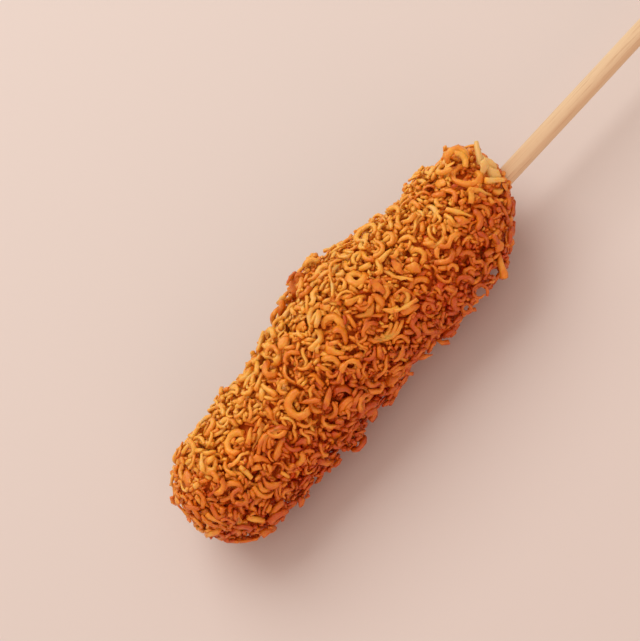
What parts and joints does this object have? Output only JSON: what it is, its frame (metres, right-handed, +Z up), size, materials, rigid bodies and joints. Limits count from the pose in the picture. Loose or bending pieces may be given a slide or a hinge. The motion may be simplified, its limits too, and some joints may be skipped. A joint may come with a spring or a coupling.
{
  "type": "corn dog",
  "caption": "Corn dog fried in a thick crust of crushed curly noodles, on a long round wooden stick, lying on its side.",
  "frame": {"origin": "on the surface it lies on, under the middle of the whole, stick included", "axes": "+X along the stick from the tip of the food to the end that is held, +Z up"},
  "size_m": [0.2686, 0.0546, 0.0506],
  "materials": {
    "noodle_crust": "satin",
    "browned_batter": "satin",
    "stick_wood": "matte"
  },
  "bodies": {
    "root": {"crusted_food": "noodle_crust", "stick": "stick_wood"}
  },
  "joints": []
}
